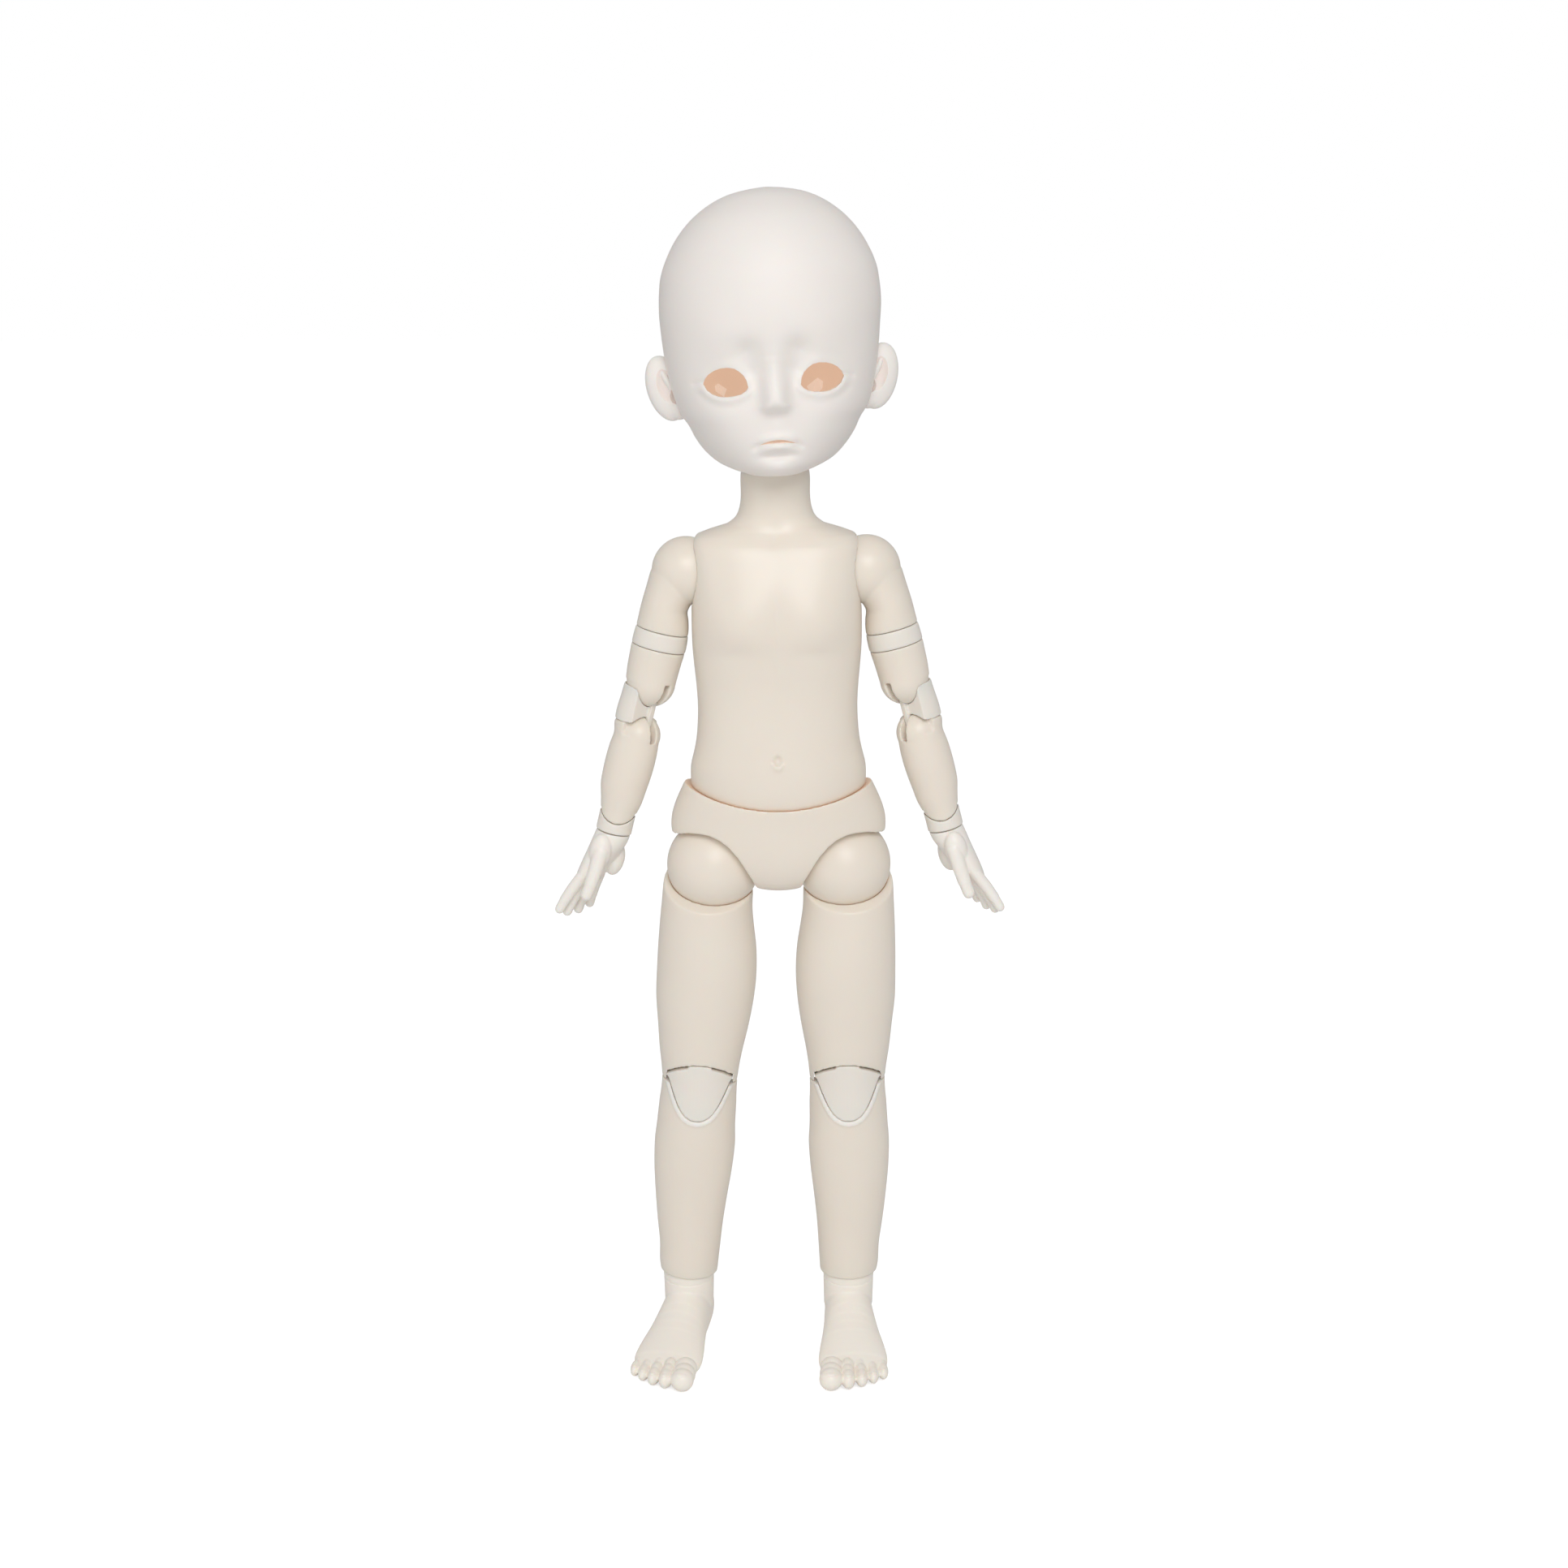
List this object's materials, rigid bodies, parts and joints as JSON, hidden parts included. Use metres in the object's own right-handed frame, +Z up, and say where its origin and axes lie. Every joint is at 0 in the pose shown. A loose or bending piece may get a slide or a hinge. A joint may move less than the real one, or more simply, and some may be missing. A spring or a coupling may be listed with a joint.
{
  "type": "ball jointed doll",
  "caption": "Standing ball jointed doll with a hollow head, open eyes, a swivel waist and neck, and jointed shoulders, elbows, wrists, hips, knees and ankles.",
  "frame": {"origin": "middle of the bounding box, on the ground under the feet", "axes": "+Z up along the doll, -Y the way it faces, +X towards its left side"},
  "size_m": [0.1168, 0.0666, 0.2997],
  "materials": {
    "body_cream": "satin cast resin",
    "head_white": "matt cast resin",
    "link_cream": "satin cast resin",
    "foot_cream": "satin cast resin",
    "joint_nylon": "plain moulded nylon",
    "pin_steel": "plain steel rod"
  },
  "bodies": {
    "pelvis": {"pelvis_front": "body_cream", "pelvis_back": "body_cream"},
    "waist_turner": {"waist_post": "joint_nylon"},
    "waist_bender": {"waist_ball": "joint_nylon"},
    "torso": {"torso_front": "body_cream", "torso_back": "body_cream"},
    "neck_turner": {"neck_post": "joint_nylon"},
    "neck_nodder": {"neck_ball": "joint_nylon"},
    "head": {"head_face": "head_white", "neck_hook": "joint_nylon"},
    "head_back": {"head_cap": "head_white"},
    "left_shoulder": {"left_shoulder_axle": "joint_nylon"},
    "left_upper_arm": {"left_upper_arm": "body_cream"},
    "left_mid_arm": {"left_arm_band": "link_cream", "left_mid_arm": "body_cream"},
    "left_elbow": {"left_elbow_link": "link_cream", "left_elbow_upper_pin": "pin_steel"},
    "left_forearm": {"left_forearm": "body_cream", "left_elbow_lower_pin": "pin_steel", "left_wrist_pin": "pin_steel"},
    "left_wrist": {"left_wrist_ring": "link_cream"},
    "left_hand": {"left_hand": "body_cream"},
    "left_hip": {"left_hip_axle": "joint_nylon"},
    "left_hip_ball": {"left_hip_ball": "body_cream"},
    "left_thigh": {"left_thigh": "body_cream"},
    "left_knee": {"left_knee_link": "link_cream", "left_knee_upper_pin": "pin_steel"},
    "left_shin": {"left_shin": "body_cream", "left_knee_lower_pin": "pin_steel"},
    "left_ankle": {"left_ankle_peg": "joint_nylon"},
    "left_foot": {"left_foot": "foot_cream", "left_ankle_pin": "pin_steel"},
    "right_shoulder": {"right_shoulder_axle": "joint_nylon"},
    "right_upper_arm": {"right_upper_arm": "body_cream"},
    "right_mid_arm": {"right_arm_band": "link_cream", "right_mid_arm": "body_cream"},
    "right_elbow": {"right_elbow_link": "link_cream", "right_elbow_upper_pin": "pin_steel"},
    "right_forearm": {"right_forearm": "body_cream", "right_elbow_lower_pin": "pin_steel", "right_wrist_pin": "pin_steel"},
    "right_wrist": {"right_wrist_ring": "link_cream"},
    "right_hand": {"right_hand": "body_cream"},
    "right_hip": {"right_hip_axle": "joint_nylon"},
    "right_hip_ball": {"right_hip_ball": "body_cream"},
    "right_thigh": {"right_thigh": "body_cream"},
    "right_knee": {"right_knee_link": "link_cream", "right_knee_upper_pin": "pin_steel"},
    "right_shin": {"right_shin": "body_cream", "right_knee_lower_pin": "pin_steel"},
    "right_ankle": {"right_ankle_peg": "joint_nylon"},
    "right_foot": {"right_foot": "foot_cream", "right_ankle_pin": "pin_steel"}
  },
  "joints": [
    {"name": "waist_turn", "type": "hinge", "parent": "pelvis", "child": "waist_turner", "pos_m": [-0.00061, 0.00323, 0.18588], "axis": [-0.0074, 0, 1], "range_deg": [-45, 45]},
    {"name": "waist_bend", "type": "hinge", "parent": "waist_turner", "child": "waist_bender", "pos_m": [-0.00061, 0.00323, 0.18588], "axis": [1, 0, 0.0074], "range_deg": [-6, 8]},
    {"name": "waist_lean", "type": "hinge", "parent": "waist_bender", "child": "torso", "pos_m": [-0.00061, 0.00323, 0.18588], "axis": [0, 1, 0], "range_deg": [-6, 6]},
    {"name": "head_turn", "type": "hinge", "parent": "torso", "child": "neck_turner", "pos_m": [-0.00105, 0.00323, 0.22988], "axis": [-0.01, 0, 0.9999], "range_deg": [-60, 60]},
    {"name": "head_nod", "type": "hinge", "parent": "neck_turner", "child": "neck_nodder", "pos_m": [-0.00105, 0.00323, 0.22988], "axis": [0.9993, 0.0349, 0.01], "range_deg": [-12, 12]},
    {"name": "head_tilt", "type": "hinge", "parent": "neck_nodder", "child": "head", "pos_m": [-0.00105, 0.00323, 0.22988], "axis": [-0.0349, 0.9994, -0.0003], "range_deg": [-10, 10]},
    {"name": "head_cap_off", "type": "slide", "parent": "head", "child": "head_back", "axis": [-0.0349, 0.9994, -0.0003], "range_m": [0, 0.03]},
    {"name": "left_shoulder_swing", "type": "hinge", "parent": "torso", "child": "left_shoulder", "pos_m": [0.02178, 0.00323, 0.20711], "axis": [-0.9999, 0, -0.01], "range_deg": [-45, 100]},
    {"name": "left_shoulder_raise", "type": "hinge", "parent": "left_shoulder", "child": "left_upper_arm", "pos_m": [0.02178, 0.00323, 0.20711], "axis": [0, -1, 0], "range_deg": [0, 50]},
    {"name": "left_arm_twist", "type": "hinge", "parent": "left_upper_arm", "child": "left_mid_arm", "pos_m": [0.02829, 0.00323, 0.19208], "axis": [-0.2584, 0, 0.966], "range_deg": [-90, 90]},
    {"name": "left_elbow_upper", "type": "hinge", "parent": "left_mid_arm", "child": "left_elbow", "pos_m": [0.03161, 0.00323, 0.17889], "axis": [-0.6588, 0.7314, -0.1762], "range_deg": [0, 65]},
    {"name": "left_elbow_lower", "type": "hinge", "parent": "left_elbow", "child": "left_forearm", "pos_m": [0.03522, 0.00323, 0.16536], "axis": [-0.6588, 0.7314, -0.1762], "range_deg": [0, 65]},
    {"name": "left_wrist_bend", "type": "hinge", "parent": "left_forearm", "child": "left_wrist", "pos_m": [0.04065, 0.00323, 0.14818], "axis": [0, -1, 0], "range_deg": [-30, 30]},
    {"name": "left_hand_twist", "type": "hinge", "parent": "left_wrist", "child": "left_hand", "pos_m": [0.04277, 0.00323, 0.14026], "axis": [-0.2584, 0, 0.966], "range_deg": [-90, 90]},
    {"name": "left_hip_swing", "type": "hinge", "parent": "pelvis", "child": "left_hip", "pos_m": [0.0166, 0.00323, 0.13101], "axis": [-1, 0, -0.0074], "range_deg": [-30, 45]},
    {"name": "left_hip_spread", "type": "hinge", "parent": "left_hip", "child": "left_hip_ball", "pos_m": [0.0166, 0.00323, 0.13101], "axis": [0, -1, 0], "range_deg": [-2, 38]},
    {"name": "left_thigh_twist", "type": "hinge", "parent": "left_hip_ball", "child": "left_thigh", "pos_m": [0.0166, 0.00323, 0.13101], "axis": [-0.0204, 0, 0.9998], "range_deg": [-10, 20]},
    {"name": "left_knee_upper", "type": "hinge", "parent": "left_thigh", "child": "left_knee", "pos_m": [0.01761, 0.00323, 0.08137], "axis": [0.9998, 0, 0.0204], "range_deg": [0, 65]},
    {"name": "left_knee_lower", "type": "hinge", "parent": "left_knee", "child": "left_shin", "pos_m": [0.01795, 0.00323, 0.06467], "axis": [0.9998, 0, 0.0204], "range_deg": [0, 65]},
    {"name": "left_ankle_turn", "type": "hinge", "parent": "left_shin", "child": "left_ankle", "pos_m": [0.01846, 0.00323, 0.01802], "axis": [-0.0204, 0, 0.9998], "range_deg": [-15, 20]},
    {"name": "left_ankle_pitch", "type": "hinge", "parent": "left_ankle", "child": "left_foot", "pos_m": [0.01846, 0.00323, 0.01802], "axis": [-0.9996, -0.0175, -0.0204], "range_deg": [-18, 18]},
    {"name": "right_shoulder_swing", "type": "hinge", "parent": "torso", "child": "right_shoulder", "pos_m": [-0.02342, 0.00323, 0.20665], "axis": [-0.9999, 0, -0.01], "range_deg": [-45, 100]},
    {"name": "right_shoulder_raise", "type": "hinge", "parent": "right_shoulder", "child": "right_upper_arm", "pos_m": [-0.02342, 0.00323, 0.20665], "axis": [0, 1, 0], "range_deg": [0, 50]},
    {"name": "right_arm_twist", "type": "hinge", "parent": "right_upper_arm", "child": "right_mid_arm", "pos_m": [-0.02954, 0.00323, 0.19146], "axis": [-0.2339, 0, -0.9723], "range_deg": [-90, 90]},
    {"name": "right_elbow_upper", "type": "hinge", "parent": "right_mid_arm", "child": "right_elbow", "pos_m": [-0.03253, 0.00323, 0.17819], "axis": [-0.6631, -0.7314, 0.1595], "range_deg": [0, 65]},
    {"name": "right_elbow_lower", "type": "hinge", "parent": "right_elbow", "child": "right_forearm", "pos_m": [-0.0358, 0.00323, 0.16458], "axis": [-0.6631, -0.7314, 0.1595], "range_deg": [0, 65]},
    {"name": "right_wrist_bend", "type": "hinge", "parent": "right_forearm", "child": "right_wrist", "pos_m": [-0.04079, 0.00323, 0.14727], "axis": [0, 1, 0], "range_deg": [-30, 30]},
    {"name": "right_hand_twist", "type": "hinge", "parent": "right_wrist", "child": "right_hand", "pos_m": [-0.04271, 0.00323, 0.1393], "axis": [-0.2339, 0, -0.9723], "range_deg": [-90, 90]},
    {"name": "right_hip_swing", "type": "hinge", "parent": "pelvis", "child": "right_hip", "pos_m": [-0.017, 0.00323, 0.13076], "axis": [-1, 0, -0.0074], "range_deg": [-30, 45]},
    {"name": "right_hip_spread", "type": "hinge", "parent": "right_hip", "child": "right_hip_ball", "pos_m": [-0.017, 0.00323, 0.13076], "axis": [0, 1, 0], "range_deg": [-2, 38]},
    {"name": "right_thigh_twist", "type": "hinge", "parent": "right_hip_ball", "child": "right_thigh", "pos_m": [-0.017, 0.00323, 0.13076], "axis": [-0.0694, 0, -0.9976], "range_deg": [-10, 20]},
    {"name": "right_knee_upper", "type": "hinge", "parent": "right_thigh", "child": "right_knee", "pos_m": [-0.02045, 0.00323, 0.08123], "axis": [0.9976, 0, -0.0694], "range_deg": [0, 65]},
    {"name": "right_knee_lower", "type": "hinge", "parent": "right_knee", "child": "right_shin", "pos_m": [-0.0216, 0.00323, 0.06457], "axis": [0.9976, 0, -0.0694], "range_deg": [0, 65]},
    {"name": "right_ankle_turn", "type": "hinge", "parent": "right_shin", "child": "right_ankle", "pos_m": [-0.02439, 0.00323, 0.018], "axis": [-0.0694, 0, -0.9976], "range_deg": [-15, 20]},
    {"name": "right_ankle_pitch", "type": "hinge", "parent": "right_ankle", "child": "right_foot", "pos_m": [-0.02439, 0.00323, 0.018], "axis": [-0.9793, 0.1908, 0.0681], "range_deg": [-18, 18]}
  ]
}
